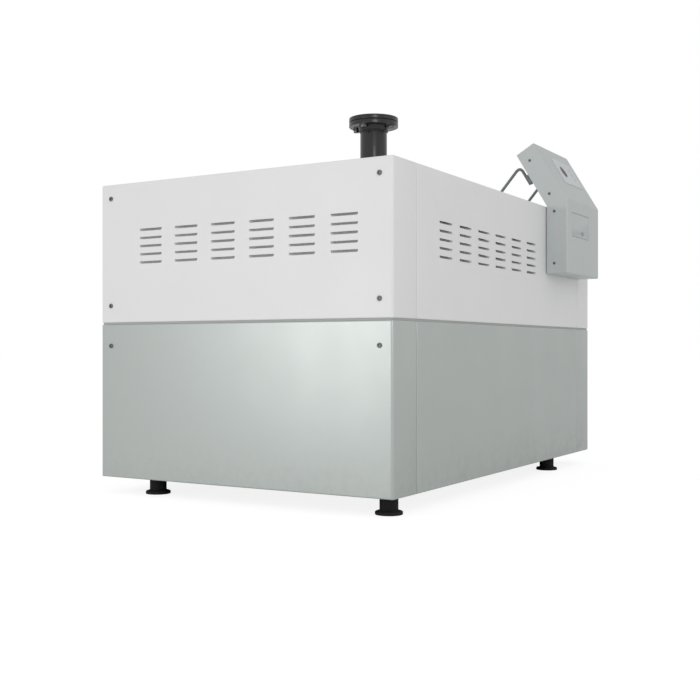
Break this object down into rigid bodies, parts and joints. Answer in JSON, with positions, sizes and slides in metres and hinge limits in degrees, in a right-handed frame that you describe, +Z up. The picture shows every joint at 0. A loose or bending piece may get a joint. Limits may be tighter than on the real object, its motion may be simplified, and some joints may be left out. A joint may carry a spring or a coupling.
{
  "type": "floor-standing gas boiler",
  "caption": "Floor-standing gas boiler in a two-tone louvred steel casing, with a sloping control box and a flanged gas pipe on top.",
  "frame": {"origin": "on the floor under the middle of the whole object's box", "axes": "+X along the casing to the right, -Y out of the front with the control box, +Z up"},
  "size_m": [2.064, 1.349, 1.526],
  "materials": {
    "upper_panels": "satin powder coat, light grey-white",
    "lower_panels": "satin powder coat, grey",
    "box_paint": "satin powder coat, mid grey",
    "bezel_plastic": "fine-textured light grey plastic",
    "display_lens": "dark polished lens",
    "frame_steel": "dark stove enamel",
    "inner_steel": "bare rolled sheet",
    "black_pipe": "semi-gloss black enamel",
    "black_feet": "black rubber",
    "screw_steel": "zinc-plated, darkened",
    "stay_steel": "satin powder coat, grey",
    "brass": "turned",
    "lever_red": "dipped coating, red",
    "cast_alu": "sand-cast, blasted",
    "gasket": "fibre sheet",
    "board_green": "lacquered circuit board",
    "switch_black": "moulded",
    "switch_green": "moulded",
    "insulation": "pressed mineral wool",
    "ceramic": "glazed",
    "motor_paint": "hammered paint",
    "burnt_steel": "heat-tinted sheet"
  },
  "bodies": {
    "casing": {"base_frame": "frame_steel", "foot_sleeves": "black_pipe", "corner_posts": "inner_steel", "belt_rails": "frame_steel", "top_frame": "inner_steel", "left_upper_panel": "upper_panels", "left_lower_panel": "lower_panels", "right_upper_panel": "upper_panels", "right_lower_panel": "lower_panels", "front_upper_panel": "upper_panels", "front_lower_panel": "lower_panels", "rear_upper_panel": "upper_panels", "rear_lower_panel": "lower_panels", "top_covers": "upper_panels", "pipe_rosettes": "gasket", "panel_screws": "screw_steel", "box_back": "box_paint", "box_cover": "box_paint", "box_screws": "screw_steel", "box_stays": "stay_steel", "display_bezel": "bezel_plastic", "display_window": "display_lens", "flap_pin": "inner_steel", "switch_panel": "box_paint", "circuit_boards": "board_green", "gas_pipe": "black_pipe", "pipe_flange": "black_pipe", "flange_gasket": "gasket", "counter_flange": "black_pipe", "flange_bolts": "screw_steel", "gas_valve_body": "brass", "gas_control_block": "cast_alu", "air_gas_mixer": "cast_alu", "fan_housing": "inner_steel", "fan_motor": "motor_paint", "burner_plenum": "inner_steel", "burner_plate": "burnt_steel", "combustion_chamber": "burnt_steel", "insulation_boards": "insulation", "ignition_electrode": "ceramic", "tube_bundle": "burnt_steel", "water_headers": "motor_paint", "water_connections": "black_pipe", "exhaust_collector": "inner_steel", "flue_outlet": "inner_steel"},
    "foot_front_left": {"foot_front_left": "black_feet"},
    "foot_front_right": {"foot_front_right": "black_feet"},
    "foot_rear_left": {"foot_rear_left": "black_feet"},
    "foot_rear_right": {"foot_rear_right": "black_feet"},
    "fan_rotor": {"fan_impeller": "cast_alu", "fan_shaft": "inner_steel"},
    "gas_valve_spindle": {"gas_valve_ball": "inner_steel", "gas_valve_lever": "lever_red"},
    "key_down": {"key_down": "bezel_plastic"},
    "key_up": {"key_up": "bezel_plastic"},
    "key_enter": {"key_enter": "bezel_plastic"},
    "flap": {"service_flap": "box_paint"},
    "lock": {"flap_lock": "screw_steel"},
    "rocker": {"power_switch": "switch_black"},
    "reset": {"reset_button": "switch_green"}
  },
  "joints": [
    {"name": "foot_front_left_height", "type": "slide", "parent": "casing", "child": "foot_front_left", "axis": [0, 0, -1], "range_m": [0, 0.02]},
    {"name": "foot_front_right_height", "type": "slide", "parent": "casing", "child": "foot_front_right", "axis": [0, 0, -1], "range_m": [0, 0.02]},
    {"name": "foot_rear_left_height", "type": "slide", "parent": "casing", "child": "foot_rear_left", "axis": [0, 0, -1], "range_m": [0, 0.02]},
    {"name": "foot_rear_right_height", "type": "slide", "parent": "casing", "child": "foot_rear_right", "axis": [0, 0, -1], "range_m": [0, 0.02]},
    {"name": "fan_spin", "type": "hinge", "parent": "casing", "child": "fan_rotor", "pos_m": [-0.443, 0.0495, 0.886], "axis": [1, 0, 0], "continuous": true},
    {"name": "gas_valve_turn", "type": "hinge", "parent": "casing", "child": "gas_valve_spindle", "pos_m": [-0.043, -0.0625, 1.021], "axis": [0, 1, 0], "range_deg": [-90, 0]},
    {"name": "key_down_press", "type": "slide", "parent": "casing", "child": "key_down", "axis": [0, 0.8572, -0.515], "range_m": [0, 0.0012], "stiffness_N_per_m": 800},
    {"name": "key_up_press", "type": "slide", "parent": "casing", "child": "key_up", "axis": [0, 0.8572, -0.515], "range_m": [0, 0.0012], "stiffness_N_per_m": 800},
    {"name": "key_enter_press", "type": "slide", "parent": "casing", "child": "key_enter", "axis": [0, 0.8572, -0.515], "range_m": [0, 0.0012], "stiffness_N_per_m": 800},
    {"name": "flap_swing", "type": "hinge", "parent": "casing", "child": "flap", "pos_m": [0.5335, -0.6655, 1.12], "axis": [-1, 0, 0], "range_deg": [0, 100]},
    {"name": "lock_turn", "type": "hinge", "parent": "flap", "child": "lock", "pos_m": [0.562, -0.6715, 1.048], "axis": [0, 1, 0], "range_deg": [0, 90]},
    {"name": "power_rock", "type": "hinge", "parent": "casing", "child": "rocker", "pos_m": [0.4605, -0.6465, 1.084], "axis": [1, 0, 0], "range_deg": [-16, 0]},
    {"name": "reset_press", "type": "slide", "parent": "casing", "child": "reset", "axis": [0, 1, 0], "range_m": [0, 0.0025], "stiffness_N_per_m": 600}
  ]
}
